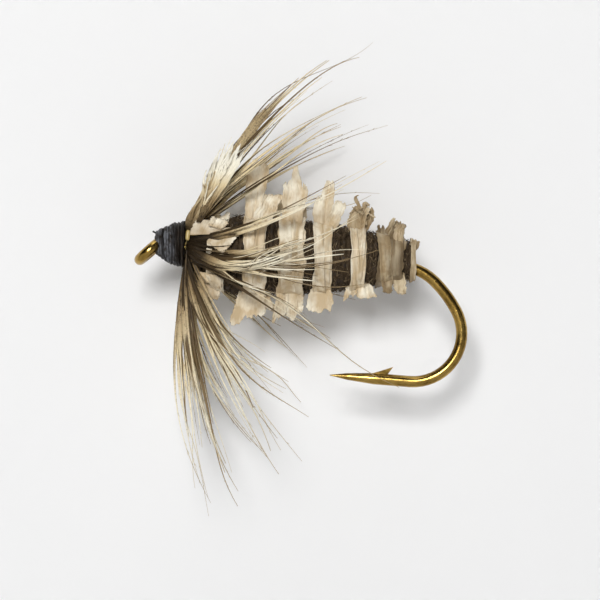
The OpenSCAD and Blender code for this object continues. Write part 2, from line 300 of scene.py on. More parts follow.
def fibrous_strip(name, pale, warm, dark):
    """Dry torn strip: faint long grain, warm where it folds at the body, stained in soft patches."""
    m = Nodes(name)
    grain = m.noise(7, m.place((1, 0.6, 0.14)), 4, 0.65)
    stain = m.noise(1.5, m.place((1, 1, 0.6)), 3)
    base = m.ramp(m.value("along"), [(0.0, (0.9,) * 3), (0.35, (0.25,) * 3), (0.7, (0,) * 3)])
    patch = m.ramp(stain, [(0.38, (0,) * 3), (0.62, (0.95,) * 3)])
    colour = m.mix(m.mix(1.0, base, patch, "SCREEN"), pale, warm)
    fine = m.ramp(grain, [(0.25, (0.7,) * 3), (0.42, (1,) * 3)])
    colour = m.mix(0.4, colour, fine, "MULTIPLY")
    colour = m.mix(m.ramp(m.value("tone"), [(0.0, (0.85,) * 3), (0.5, (0,) * 3)]), colour, dark)
    m.bump(grain, 0.3, 0.02)
    return m.set(Base_Color=colour, Roughness=0.6, Specular_IOR_Level=0.3)


def herl():
    m = Nodes("dark_herl")
    place = m.place()
    base = m.ramp(m.value("tone"), [
        (0.0, (0.025, 0.017, 0.009)), (0.35, (0.09, 0.06, 0.033)), (0.75, (0.2, 0.14, 0.08)),
        (1.0, (0.38, 0.29, 0.17))])
    # Painted blue-grey highlight: sparse soft specks of cooler colour stand in for the herl's sheen
    painted_blue_highlight = m.ramp(m.noise(3.0, place), [(0.55, (0,) * 3), (0.75, (0.5,) * 3)])
    colour = m.mix(painted_blue_highlight, base, (0.06, 0.06, 0.07))
    m.bump(m.noise(20, place), 0.4)
    return m.set(Base_Color=colour, Roughness=0.7, Specular_IOR_Level=0.15)


def thread():
    """Waxed thread, black-brown, with painted shade in the grooves and a painted blue-grey highlight on
    the crowns of the turns near the eye, broken into soft patches.
    """
    m = Nodes("black_thread")
    # Painted crown highlight and groove shade: the tone is high on the outer crown of each turn and low at
    # its sides
    crown = m.ramp(m.value("tone"), [(0.6, (0,) * 3), (0.98, (1,) * 3)])
    # The painted highlight fades from the front of the winding towards the back
    front = m.ramp(m.value("along"), [(0.25, (1,) * 3), (0.75, (0.05,) * 3)])
    # Soft patches where the painted highlight shows, with black-brown between them
    highlight_patches = m.ramp(m.noise(2.2, m.place(), 3), [(0.38, (0,) * 3), (0.6, (1,) * 3)])
    painted_blue_highlight = m.mix(m.mix(1.0, front, highlight_patches, "MULTIPLY"), (0.022, 0.015, 0.009), (0.15, 0.155, 0.17))
    colour = m.mix(crown, (0.004, 0.0025, 0.0015), painted_blue_highlight)
    m.bump(m.noise(26, m.place((1.6, 0.5, 0.5)), 3), 0.7, 0.015)
    return m.set(Base_Color=colour, Roughness=0.45, Specular_IOR_Level=0.12)


def quill():
    m = Nodes("quill")
    place = m.place()
    colour = m.ramp(m.noise(2.5, place), [(0.35, (0.36, 0.24, 0.06)), (0.65, (0.66, 0.52, 0.24))])
    m.bump(m.noise(16, m.place((0.4, 1, 0.4))), 0.3)
    return m.set(Base_Color=colour, Roughness=0.35)


def wool():
    m = Nodes("padding_wool")
    colour = m.ramp(m.noise(5, m.place()), [(0.3, (0.015, 0.012, 0.009)), (0.7, (0.06, 0.045, 0.03))])
    m.bump(m.noise(18, m.place()), 0.6)
    return m.set(Base_Color=colour, Roughness=0.9)


def barred(name, dark_stops, pale_stops, speckle, outer=0.2, fleck=4.5):
    """Feather barbs, dark or pale by their tone, with a colour for each place along them.

    speckle is how strong the dark flecks are at the root, outer how strong they are further out.
    """
    m = Nodes(name)
    along, tone = m.value("along"), m.value("tone")
    kind = m.ramp(tone, [(0.42, (0,) * 3), (0.62, (1,) * 3)])
    colour = m.mix(kind, m.ramp(along, dark_stops), m.ramp(along, pale_stops))
    flecks = m.ramp(m.noise(fleck, m.place(), 4, 0.7), [(0.5, (0,) * 3), (0.66, (1,) * 3)])
    fading = m.ramp(along, [(0.0, (speckle,) * 3), (0.45, (outer,) * 3)])
    colour = m.mix(m.mix(1.0, flecks, fading, "MULTIPLY"), colour, (0.03, 0.02, 0.01))
    m.bump(m.noise(22, m.place((1, 1, 0.4))), 0.25, 0.01)
    return m.set(Base_Color=colour, Roughness=0.5, Specular_IOR_Level=0.22)


BLACK, DARK, OLIVE, TAN, CREAM, PALE = (
    (0.015, 0.009, 0.004), (0.05, 0.031, 0.013), (0.145, 0.092, 0.038), (0.40, 0.285, 0.145),
    (0.78, 0.65, 0.41), (0.93, 0.87, 0.70))

BRONZE = bronze_wire()
STRIP_CREAM = fibrous_strip("cream_strip", (0.93, 0.86, 0.70), (0.58, 0.44, 0.26), (0.34, 0.24, 0.13))
STRIP_TAN = fibrous_strip("tan_strip", (0.68, 0.57, 0.39), (0.34, 0.24, 0.125), (0.10, 0.065, 0.03))
HERL = herl()
THREAD = thread()
QUILL = quill()
WOOL = wool()
DARK_BARB = [(0.0, BLACK), (0.3, DARK), (0.6, OLIVE), (1.0, TAN)]
BARRED = barred(
    "barred_hackle", DARK_BARB,
    [(0.0, DARK), (0.12, TAN), (0.25, CREAM), (0.75, CREAM), (1.0, TAN)], 0.9, 0.2, 6)
THROAT = barred(
    "throat_hackle", [(0.0, BLACK), (0.15, DARK), (0.4, OLIVE), (1.0, TAN)],
    [(0.0, DARK), (0.1, OLIVE), (0.2, TAN), (0.38, CREAM), (0.65, PALE), (1.0, TAN)], 0.9, 0.25, 7)
NEAR_BARBS = barred(
    "near_hackle", DARK_BARB,
    [(0.0, BLACK), (0.17, DARK), (0.28, TAN), (0.4, CREAM), (0.7, PALE), (1.0, CREAM)], 0.9, 0.15, 7)
DOWN = barred(
    "pale_hackle", [(0.0, DARK), (0.35, OLIVE), (0.6, TAN), (1.0, CREAM)],
    [(0.0, DARK), (0.3, TAN), (0.5, CREAM), (0.65, PALE), (1.0, (0.95, 0.92, 0.82))], 0.9, 0.0, 7)
SPECKLED = barred(
    "speckled_hackle", [(0.0, DARK), (0.3, (0.3, 0.22, 0.12)), (1.0, TAN)],
    [(0.0, OLIVE), (0.3, TAN), (0.7, (0.6, 0.47, 0.27)), (1.0, TAN)], 0.85, 0.85, 10)

# ---- carried CAD nodes ----

CARRIED = {"hook": BRONZE, "thread_base": THREAD, "padding": WOOL, "quill_stem": QUILL}
for node, material in CARRIED.items():
    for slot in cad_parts[node].material_slots:
        slot.material = material

# ---- herl bands ----

# Each band: where it starts and ends along the body, and its turns
HERL_BANDS = {
    "herl_collar": (2.42, 2.9, 2), "herl_band_1": (3.8, 4.72, 3), "herl_band_2": (5.86, 6.46, 2),
    "herl_band_3": (7.76, 8.2, 2), "herl_band_4": (9.15, 10.05, 3), "herl_band_5": (10.8, 11.35, 2),
    "rear_wrap": (12.72, 13.02, 2)}
CORE_DEPTH = 0.14
CORE_THICKNESS = 0.08
NAP_DEPTH = 0.1
HAIRS_PER_MM = 620
HAIR_RINGS = 5


def herl_core(shape, x1, x2, turns, rng):
    """The spiral ridges of the turns, a little below the body's outline."""
    angle = np.linspace(0, TAU, 128, endpoint=False)[:, None]
    across = np.linspace(0, 1, 10 * turns)[None, :]
    x = x1 + (x2 - x1) * across
    ridge = 0.06 * np.cos(TAU * turns * across + angle) * np.sin(math.pi * across)
    knots = 0.03 * ripple(rng, angle / TAU * 40, across * turns, 0.6, 1.5)
    grid = on_body(x, angle, body_r(x) - CORE_DEPTH + ridge + knots)
    shape.sheet(grid, CORE_THICKNESS, closed=True, tone=0.2)


def herl_nap(shape, x1, x2, rng):
    """Short hairs that mostly follow the turns."""
    count = int(HAIRS_PER_MM * (x2 - x1))
    each = (count, 1)
    t = np.linspace(0, 1, HAIR_RINGS)[None, :]
    start = rng.uniform(0, TAU, each)
    sweep = rng.uniform(0.03, 0.3, each) * rng.choice([-1, 1], each)
    at = rng.uniform(x1 - 0.02, x2 + 0.02, each) + rng.normal(0, 0.16, each) * t
    lift = rng.gamma(2.0, 0.035, each) * t
    wave = 0.02 * np.sin(TAU * (t * 1.3 + rng.uniform(0, 1, each)))
    out = body_r(at) - NAP_DEPTH + rng.uniform(0, 0.08, each) + lift + wave
    width = rng.uniform(0.012, 0.024, each) * (1.05 - t)
    tone = rng.uniform(0, 1, count) ** 1.4
    shape.strands(on_body(at, start + sweep * t, out), width, sides=3, tone=tone)


def herl_band(name, x1, x2, turns, rng):
    shape = Shape()
    herl_core(shape, x1, x2, turns, rng)
    herl_nap(shape, x1, x2, rng)
    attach(shape.piece(f"{name}_nap", "dark_herl", [name], HERL), "dressed_hook")


for number, (name, (x1, x2, turns)) in enumerate(HERL_BANDS.items()):
    herl_band(name, x1, x2, turns, np.random.default_rng(100 + number))

# ---- strips ----

WRAP_THICKNESS, LEAF_THICKNESS = 0.05, 0.045
# How far a leaf that lies on the body stands off its outline
LEAF_GAP = 0.17


def wrap(shape, x1, x2, rng, tone, proud=0.05, span=None, slant=0.0):
    """A strip wound round the body, with uneven edges; span is its start and end in turns."""
    rows, columns = 160, 18
    closed = span is None
    a1, a2 = [turn * TAU for turn in span or (0, 1)]
    angle = np.linspace(a1, a2, rows, endpoint=not closed)[:, None]
    across = np.linspace(-1, 1, columns)[None, :]
    around = angle / TAU
    side = np.sign(across)
    edge = 0.06 * ripple(rng, around, side, 5, 1) + 0.03 * ripple(rng, around, side, 16, 1)
    half = (x2 - x1) / 2
    x = (x1 + x2) / 2 + half * across * (1 + edge) + slant * (angle - (a1 + a2) / 2) / (a2 - a1)
    lift = 0.05 * np.abs(across) ** 3 * (0.8 + 0.6 * ripple(rng, around, side, 4, 1))
    crease = 0.03 * ripple(rng, around, across, 1.4, 0.5) + 0.007 * ripple(rng, around, across, 1, 4)
    shade = tone + 0.12 * ripple(rng, around, across, 1.5, 0.4)
    place = 0.3 + 0.2 * ripple(rng, around, across, 2, 0.3)
    grid = on_body(x, angle, body_r(x) + proud + lift + crease)
    shape.sheet(grid, WRAP_THICKNESS, closed, place, shade)


def near_surface(x, z, out):
    """How far in Y the near side of the body is at (x, z), at a height above its skin."""
    above = z - (BODY_START[2] + (x - BODY_START[0]) * math.tan(BODY_TILT))
    return -np.sqrt(np.maximum((body_r(x) + out) ** 2 - above ** 2, 0.01))


def between_edges(left, right, t, u, wear):
    """Where x and z are t of the way up two edges and u of the way across, with the edges worn."""
    fine = 120
    steps = np.linspace(0, 1, fine)
    l_edge, r_edge = resample(left, fine), resample(right, fine)
    lx, lz = np.interp(t, steps, l_edge[:, 0]) + wear, np.interp(t, steps, l_edge[:, 1])
    rx, rz = np.interp(t, steps, r_edge[:, 0]) + wear[::-1], np.interp(t, steps, r_edge[:, 1])
    return lx + (rx - lx) * u, lz + (rz - lz) * u


def leaf(shape, left, right, reach, y, lean, tone, rng, thickness=LEAF_THICKNESS):
    """A torn end of strip, between a left and a right edge from base to tip.

    reach says how much of that length is left at each place across. y is its place across the
    body, or None for a leaf that lies on the body's near side. lean carries its tip towards the
    far side, or off the body where y is None.
    """
    rows, columns = 30, 40
    u = np.linspace(0, 1, columns)[None, :]
    torn = np.interp(u, np.linspace(0, 1, len(reach)), reach) + 0.026 * ripple(rng, u, 0 * u, 9, 0)
    t = np.linspace(0, 1, rows)[:, None] * torn
    x, z = between_edges(left, right, t, u, wear=0.02 * ripple(rng, t, 0 * u, 7, 0))
    fold = 0.035 * ripple(rng, t * 0.6, u, 0.6, 1.2) + 0.008 * ripple(rng, t * 0.4, u, 0.5, 6)
    if y is None:
        depth = near_surface(x, z, LEAF_GAP) - 0.1 * lean * t + fold
    else:
        cup = 0.1 * ((2 * u - 1) ** 2 - 0.4) * np.minimum(1, 2 * t)
        depth = y - cup + lean * t ** 1.5 + fold
    shade = tone + 0.1 * ripple(rng, t, u, 0.7, 1.0)
    shape.sheet(np.stack([x, depth, z], 2), thickness, along=t, tone=shade)


# How much of its length each torn end keeps, from its left edge to its right
FLAT = (0.97, 1, 0.98, 0.95)
RAGGED = (0.96, 1, 0.86, 0.95, 0.84, 0.9, 0.8)
NOTCHED = (0.95, 1, 0.82, 0.8, 1, 0.9)
SHOULDERS = (0.72, 0.7, 0.72, 0.98, 1, 0.97, 0.72, 0.7, 0.68)

Leaf = namedtuple("Leaf", "left right reach y lean tone")

# Each strip: where it wraps the body, and its leaves
STRIPS = {
    "flap_upper": ((2.92, 3.35), [
        Leaf([(2.02, 0.95), (2.05, 1.25), (2.25, 1.7)],
             [(3.4, 1.1), (3.6, 1.5), (3.75, 1.9)], FLAT, -1.42, 0.0, 0.35),
        Leaf([(2.9, 1.5), (2.95, 1.7), (3.05, 1.95)],
             [(3.55, 1.35), (3.85, 1.6), (3.9, 1.85)], RAGGED, -1.6, -0.1, 1.0),
        Leaf([(2.85, 1.0), (3.0, 0.6), (3.75, 0.15)],
             [(3.4, 1.35), (4.1, 1.5), (4.62, 1.3)], FLAT, None, 1.2, 0.8),
        Leaf([(3.0, 1.3), (2.95, 1.7), (3.0, 2.2)],
             [(3.6, 1.3), (3.85, 1.8), (3.9, 2.3)], NOTCHED, -0.4, -0.1, 0.5)]),
    "flap_lower": ((3.37, 3.78), [
        Leaf([(2.35, -0.8), (2.6, -1.05), (2.95, -1.35)],
             [(3.0, -0.85), (3.1, -1.0), (3.3, -1.25)], FLAT, None, 0.8, 0.9),
        Leaf([(3.05, -0.9), (3.15, -1.3), (3.4, -1.95)],
             [(3.65, -0.9), (3.8, -1.3), (3.72, -1.85)], NOTCHED, None, 1.2, 0.75),
        Leaf([(2.6, -1.1), (2.6, -1.5), (2.95, -2.1)],
             [(3.4, -1.2), (3.75, -1.8), (3.6, -2.3)], RAGGED, -0.7, -0.1, 0.3)]),
    "strip_1": ((4.74, 5.84), [
        Leaf([(4.75, 1.6), (4.6, 2.9), (4.55, 4.3), (4.7, 5.05)],
             [(5.4, 1.6), (5.45, 3.0), (5.7, 4.3), (5.45, 5.0)],
             (0.86, 0.97, 1, 0.97, 0.98, 0.9), -0.9, 0.35, 0.95),
        Leaf([(4.9, 1.6), (4.85, 2.8), (4.9, 3.7)],
             [(5.75, 1.5), (5.8, 2.6), (5.6, 3.5)], RAGGED, 0.5, 0.2, 0.6),
        Leaf([(4.75, -1.2), (4.5, -2.3), (4.25, -3.45)],
             [(5.75, -1.2), (5.95, -1.9), (6.1, -2.75)],
             (0.86, 1, 0.98, 0.82, 0.94, 0.88, 0.98, 0.9), -0.75, -0.1, 0.8),
        Leaf([(5.2, -1.4), (5.3, -2.2), (5.5, -2.6)],
             [(5.9, -1.4), (6.35, -2.0), (6.4, -2.4)], NOTCHED, -0.2, 0.25, 0.6)]),
    "strip_2": ((6.48, 7.74), [
        Leaf([(6.5, 1.6), (6.45, 2.9), (6.4, 4.0), (6.6, 4.85)],
             [(7.45, 1.6), (7.55, 2.8), (7.7, 3.8), (7.4, 4.8)], SHOULDERS, -0.9, 0.35, 0.95),
        Leaf([(6.6, 1.6), (6.55, 2.8), (6.6, 3.4)],
             [(7.6, 1.6), (7.75, 2.6), (7.5, 3.2)], RAGGED, 0.55, 0.25, 0.6),
        Leaf([(6.5, -1.1), (6.5, -2.0), (6.4, -3.1)],
             [(7.1, -1.1), (7.1, -2.3), (7.0, -2.85)], RAGGED, -0.75, -0.1, 0.85),
        Leaf([(7.0, -1.1), (7.05, -2.1), (7.15, -3.0)],
             [(7.75, -1.1), (7.9, -1.9), (7.85, -2.7)],
             (0.85, 0.84, 1, 1, 0.8, 0.82, 0.76), -0.7, 0.1, 0.7)]),
    "strip_3": ((8.22, 9.13), [
        Leaf([(8.25, 1.6), (7.95, 2.6), (8.1, 3.5), (8.35, 4.25)],
             [(8.95, 1.6), (9.0, 3.0), (9.0, 3.8), (8.9, 4.25)],
             (0.62, 0.64, 0.98, 1, 0.98, 1), -0.75, 0.3, 0.95),
        Leaf([(8.25, 1.6), (8.2, 2.2), (8.35, 2.9)],
             [(8.9, 1.7), (9.0, 2.3), (8.9, 2.9)], RAGGED, 0.5, 0.1, 0.6),
        Leaf([(8.25, -0.9), (8.1, -1.7), (8.0, -2.45)],
             [(9.15, -0.8), (9.3, -1.5), (9.55, -2.3)],
             (0.84, 0.93, 1, 1, 0.9, 0.92, 0.7), -0.75, -0.05, 1.0)]),
    "strip_4": ((10.07, 10.78), [
        Leaf([(10.05, -0.5), (9.95, -1.0), (9.85, -1.7)],
             [(10.45, -0.5), (10.5, -1.0), (10.5, -1.6)], (1, 0.9, 0.72, 0.8, 0.7), -0.6, -0.1, 0.95),
        Leaf([(10.4, -0.6), (10.5, -1.1), (10.55, -1.55)],
             [(10.95, -0.55), (11.3, -0.95), (11.5, -1.4)],
             (0.85, 1, 0.92, 1, 0.9, 0.94), -0.55, -0.1, 1.0)]),
    "strip_5": ((11.37, 12.7), [
        Leaf([(11.65, 1.1), (11.85, 1.9), (12.1, 2.5)],
             [(12.3, 1.1), (12.6, 1.8), (12.65, 2.4)], FLAT, -0.55, -0.05, 0.4),
        Leaf([(11.3, 1.3), (11.25, 1.8), (11.3, 2.25)],
             [(11.6, 1.25), (11.65, 1.8), (11.6, 2.25)], NOTCHED, -0.4, -0.05, 0.2),
        Leaf([(11.5, 0.0), (11.65, -0.5), (11.8, -1.1)],
             [(12.15, -0.1), (12.2, -0.6), (12.2, -1.15)], FLAT, -0.7, -0.05, 0.35),
        Leaf([(12.15, 0.0), (12.3, -0.6), (12.3, -1.15)],
             [(12.75, 0.0), (12.9, -0.5), (12.95, -1.1)], (0.7, 0.96, 1, 0.98), -0.65, 0.05, 0.75)]),
    "tail_strip": ((13.04, 13.3), [
        Leaf([(12.95, 1.2), (12.95, 1.45), (13.0, 1.7)],
             [(13.3, 1.15), (13.4, 1.4), (13.45, 1.65)], RAGGED, -0.4, 0.0, 0.7)]),
    "cross_strip": (None, [
        Leaf([(4.8, 1.3), (4.95, 1.9), (5.5, 3.3)],
             [(5.6, 1.25), (6.1, 2.3), (6.45, 3.35)], (0.97, 1, 0.98, 1, 1), -1.15, 0.55, 1.0),
        Leaf([(5.0, 1.8), (5.3, 2.6), (5.55, 3.3)],
             [(6.2, 1.9), (6.5, 2.7), (6.45, 3.5)], RAGGED, 0.45, 0.15, 0.7)]),
    "back_strip": (None, [
        Leaf([(8.5, 1.75), (8.75, 2.4), (9.1, 3.3)],
             [(9.1, 1.6), (9.45, 2.5), (9.65, 3.2)], FLAT, -0.9, 0.1, 0.95)]),
    "crumpled_strip": (None, [
        Leaf([(9.9, 1.7), (9.7, 2.3), (10.05, 3.1)],
             [(10.6, 1.8), (10.65, 2.5), (10.9, 3.25)], RAGGED, -0.55, -0.1, 0.75),
        Leaf([(10.2, 1.8), (10.3, 2.5), (10.6, 3.2)],
             [(10.7, 1.8), (11.05, 2.4), (11.0, 3.1)], NOTCHED, -0.3, 0.1, 0.8),
        Leaf([(11.4, 1.4), (11.6, 1.9), (12.05, 2.7)],
             [(12.1, 1.35), (12.5, 2.0), (12.5, 2.6)], RAGGED, 0.4, 0.1, 0.5),
        Leaf([(12.1, 1.2), (12.1, 1.8), (12.15, 2.4)],
             [(12.6, 1.2), (12.55, 1.8), (12.6, 2.35)], FLAT, -0.7, -0.05, 1.0)]),
}
TAN_STRIPS = ("strip_5", "tail_strip", "crumpled_strip")
# Tone of the wound part: 0 is stained dark and 0.5 or more is clean
CLEAN, STAINED = 0.7, 0.16
# A strip with a half width over this has laps over its wound part
LAPPED_HALF_WIDTH = 0.3
# Each lap: its ends across the half width, height, start and end turn, added tone, slant
LAPS = [
    (-0.85, 0.1, 0.11, (0.08, 0.42), 0.2, 0.25),
    (0.1, 0.9, 0.09, (-0.05, 0.36), 0.0, -0.2),
    (-0.6, 0.5, 0.12, (0.55, 0.93), 0.1, 0.3)]


def crumbs(shape, x, y, z, size, rng, number=14):
    """Curled shreds of strip in a loose ball."""
    rings = 14
    for _ in range(number):
        start = np.array([x, y, z]) + rng.normal(0, 0.35 * size, 3)
        bend = rng.normal(0, 1, (3, 3)) * size * 0.5
        middle = start + bend[0] + (0, 0, 0.3 * size)
        path = resample(np.vstack([start, middle, start + bend[0] + bend[1]]), rings)
        across = np.cross(np.gradient(path, axis=0), bend[2])
        across /= np.linalg.norm(across, axis=1, keepdims=True)
        half = rng.uniform(0.05, 0.11) * np.sin(np.linspace(0.5, 2.7, rings))[:, None, None]
        grid = path[:, None] + across[:, None] * half * np.linspace(-1, 1, 5)[None, :, None]
        shape.sheet(grid, 0.025, tone=rng.uniform(0.45, 1.0))


def strip(name, width, leaves, rng):
    shape = Shape()
    if width:
        tone = STAINED if name == "strip_5" else CLEAN
        wrap(shape, *width, rng, tone)
        middle, half = sum(width) / 2, (width[1] - width[0]) / 2
        if half > LAPPED_HALF_WIDTH:
            for start, end, proud, span, added, slant in LAPS:
                x1, x2 = middle + start * half, middle + end * half
                wrap(shape, x1, x2, rng, tone + added, proud, span, slant)
    for each in leaves:
        leaf(shape, *each, rng)
    if name == "crumpled_strip":
        crumbs(shape, 10.5, -0.5, 2.75, 0.45, rng)
    tan = name in TAN_STRIPS
    piece = shape.piece(f"{name}_sheet", "tan_strip" if tan else "cream_strip", [name],
                        STRIP_TAN if tan else STRIP_CREAM)
    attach(piece, "dressed_hook")


for number, (name, (width, leaves)) in enumerate(STRIPS.items()):
    strip(name, width, leaves, np.random.default_rng(200 + number))

# ---- hackle ----

# The ring that the barbs spring from, round the shank just behind the head
ROOT_X, ROOT_R, ROOT_Z = 1.9, 0.78, SHANK_Z + 0.08


def root_at(degrees):
    a = np.radians(degrees)
    return np.stack([ROOT_X + 0 * a, -ROOT_R * np.sin(a), ROOT_Z + ROOT_R * np.cos(a)], -1)


# Each barb: root angle from the top towards the near side, bow point, tip.
BARBS = {
    "hackle_crown": [
        (4, (4.3, -1.4, 8.0), (9.98, -2.0, 11.29)),
        (14, (4.5, -1.8, 7.4), (9.55, -2.8, 10.1)),
        (-6, (4.6, -0.6, 6.5), (8.2, -0.8, 9.15)),
        (24, (4.9, -2.4, 5.8), (10.1, -3.4, 8.3)),
        (-16, (5.3, 0.6, 5.4), (9.3, 0.8, 7.3))],
    "hackle_crown_inner": [
        (34, (6.0, -2.7, 5.4), (11.5, -3.7, 7.2)),
        (-26, (5.2, 1.6, 5.0), (7.98, 2.2, 7.14)),
        (-38, (5.6, 2.6, 4.6), (9.6, 3.6, 6.4))],
    "hackle_plume": [
        (20, (2.7, -2.2, 2.7), (2.95, -2.4, 4.8)),
        (14, (2.9, -2.2, 3.1), (3.4, -2.4, 5.4)),
        (8, (3.2, -2.1, 3.4), (3.85, -2.3, 5.8)),
        (14, (3.4, -2.0, 3.6), (4.3, -2.2, 5.95)),
        (20, (3.6, -2.0, 3.4), (4.5, -2.2, 5.4)),
        (-22, (2.9, 1.4, 3.2), (3.8, 1.9, 5.1))],
    "hackle_near_upper": [
        (62, (5.5, -3.5, 0.95), (11.46, -3.5, 5.41)),
        (84, (4.2, -3.4, -1.2), (8.0, -3.5, 1.2)),
        (92, (6.2, -3.6, -0.3), (10.42, -3.2, 2.5)),
        (100, (6.5, -3.7, -0.9), (12.1, -3.0, 1.2)),
        (106, (5.8, -3.6, -0.5), (9.9, -3.3, -0.1)),
        (112, (4.4, -3.3, -1.6), (8.6, -3.5, 0.9))],
    "hackle_near_lower": [
        (116, (5.8, -3.6, -0.7), (11.15, -3.1, -0.95)),
        (124, (4.6, -3.4, -1.2), (7.1, -3.3, -1.6)),
        (128, (5.6, -3.6, -1.4), (12.9, -3.4, -5.6))],
    "hackle_far_upper": [
        (-50, (5.4, 3.5, 2.6), (11.4, 3.3, 3.9)),
        (-68, (5.2, 3.6, 1.6), (9.4, 3.6, 4.4)),
        (-84, (5.2, 3.7, 0.6), (11.2, 3.3, 2.1)),
        (-96, (5.0, 3.7, -0.4), (10.1, 3.2, 0.4))],
    "hackle_far_lower": [
        (-106, (5.0, 3.6, -1.0), (11.0, 3.2, -1.3)),
        (-116, (4.8, 3.6, -1.8), (9.2, 3.6, -3.6)),
        (-126, (4.6, 3.4, -2.6), (8.2, 3.9, -5.0))],
    "hackle_throat_front": [
        (166, (1.3, -0.6, -6.5), (4.15, -0.9, -12.74)),
        (152, (2.2, -1.3, -6.3), (5.54, -1.8, -12.1)),
        (-178, (1.9, 0.2, -6.5), (5.4, 0.4, -11.6)),
        (-164, (2.4, 1.1, -6.4), (6.85, 1.8, -9.9))],
    "hackle_throat_rear": [
        (144, (3.2, -1.9, -4.9), (7.29, -2.6, -10.08)),
        (138, (3.1, -2.2, -4.8), (8.64, -3.2, -9.88)),
        (132, (3.6, -2.7, -4.6), (8.56, -3.6, -7.66)),
        (-150, (3.0, 1.9, -4.4), (8.5, 3.0, -6.8)),
        (-138, (3.4, 2.6, -3.9), (7.2, 3.5, -6.1))],
}
# bundle: barbs on each main one; between: loose barbs between two main ones; short: short barbs at
# the root; width: a barb's half width; hair: a barbule's length; pale: the share of pale barbs
Group = namedtuple("Group", "body material slot bundle between short width hair pale")
GROUPS = {
    "hackle_crown": Group("upper_hackle", BARRED, "barred_hackle", 5, 1, 10, 0.08, 0.3, 0.5),
    "hackle_crown_inner": Group("upper_hackle", BARRED, "barred_hackle", 3, 1, 6, 0.08, 0.3, 0.55),
    "hackle_plume": Group("upper_hackle", DOWN, "pale_hackle", 4, 2, 3, 0.13, 0.4, 0.9),
    "hackle_near_upper": Group("near_hackle", NEAR_BARBS, "barred_hackle", 6, 0, 80, 0.1, 0.22, 0.68),
    "hackle_near_lower": Group("near_hackle", NEAR_BARBS, "barred_hackle", 4, 0, 28, 0.095, 0.22, 0.5),
    "hackle_far_upper": Group("far_hackle", BARRED, "barred_hackle", 5, 2, 16, 0.065, 0.3, 0.4),
    "hackle_far_lower": Group("far_hackle", BARRED, "barred_hackle", 5, 2, 16, 0.065, 0.3, 0.4),
    "hackle_throat_front": Group("lower_hackle", THROAT, "barred_hackle", 7, 4, 46, 0.1, 0.3, 0.72),
    "hackle_throat_rear": Group("lower_hackle", THROAT, "barred_hackle", 5, 2, 32, 0.1, 0.3, 0.7),
}
# Rings along each barb, barbules on each barb, sides round each barb, how far a bundle's barbs spread, and
# how much they sway
RINGS = 26
BARBULES = 16
STRAND_SIDES = 8
BARB_SPREAD = (0.26, 0.13, 0.26)
BARB_WAVE = 0.26


def barb_ends(main, bundle, between, short, rng):
    """Roots, bow points, tips and reach of a group's barbs.

    A pointed bundle lies on each main one. Looser ones lie between, and short ones come last.
    """
    angle, bow, tip = (np.array([m[i] for m in main], float) for i in range(3))
    gaps = len(main) - 1
    pick = np.repeat(np.arange(len(main)), bundle)
    spread = rng.normal(0, 1, (len(pick), 3)) * BARB_SPREAD
    reach = np.where(np.arange(len(pick)) % bundle == 0, 1.0, rng.uniform(0.6, 0.97, len(pick)))
    step = np.concatenate([np.repeat(np.arange(gaps), between), rng.integers(0, gaps, short)])
    count = len(step)
    share = rng.uniform(0, 1, count)
    loose = [a[step] + (a[step + 1] - a[step]) * (share if a.ndim == 1 else share[:, None])
             for a in (angle, bow, tip)]
    angles = np.concatenate([angle[pick] + rng.normal(0, 4, len(pick)),
                             loose[0] + rng.normal(0, 3, count)])
    bows = np.vstack([bow[pick] + spread, loose[1] + rng.normal(0, 0.3, (count, 3))])
    tips = np.vstack([tip[pick] + spread * 0.3 * (reach < 1)[:, None],
                      loose[2] + rng.normal(0, 0.4, (count, 3))])
    roots = root_at(angles)
    whole = np.linalg.norm(tips - roots, axis=1)[len(pick):]
    loose_reach = np.where(np.arange(count) < between * gaps, rng.uniform(0.45, 0.8, count),
                           rng.uniform(0.6, 3.0, count) / whole)
    return roots, bows, tips, np.concatenate([reach, loose_reach])


def barb_paths(main, bundle, between, short, rng):
    """Curved, slightly wavy paths of a group's barbs, and how much of its curve each covers."""
    roots, bows, tips, reach = barb_ends(main, bundle, between, short, rng)
    t = np.linspace(0, 1, RINGS)[None, :, None] * reach[:, None, None]
    roots, bows, tips = roots[:, None], bows[:, None], tips[:, None]
    paths = (1 - t) ** 2 * roots + 2 * t * (1 - t) * bows + t ** 2 * tips
    number = len(paths)
    way = rng.normal(0, 1, (number, 1, 3))
    wave = way * np.sin(TAU * (t * rng.uniform(0.6, 1.7, (number, 1, 1))))
    return paths + BARB_WAVE * t * wave * (1, 0.4, 1), reach


def sideways(paths):
    """Unit directions across each path, in the plane that faces the near side."""
    side = np.cross(np.gradient(paths, axis=1), (0, 1, 0))
    return side / (np.linalg.norm(side, axis=2, keepdims=True) + 1e-9)


